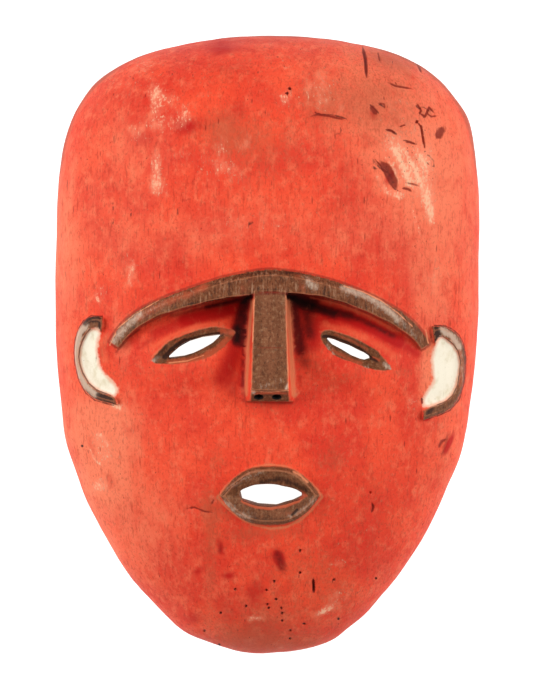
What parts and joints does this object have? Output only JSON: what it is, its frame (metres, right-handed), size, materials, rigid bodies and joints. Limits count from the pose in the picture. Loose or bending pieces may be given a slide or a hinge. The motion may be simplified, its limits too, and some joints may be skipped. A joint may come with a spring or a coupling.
{
  "type": "carved wooden face mask",
  "caption": "Red-painted carved wooden face mask with arched brow, long straight nose, pierced eyes and mouth and curved ears, hollowed behind.",
  "frame": {"origin": "middle of the flat back rim's plane, under the middle of the outline", "axes": "+Z out of the face, +Y toward the top of the head, +X toward the right of someone looking at the face; the mask lies on its rim at z = 0"},
  "size_m": [0.2195, 0.3197, 0.0796],
  "materials": {
    "painted_wood": "worn earth-red paint on carved wood"
  },
  "bodies": {
    "root": {"mask": "painted_wood"}
  },
  "joints": []
}
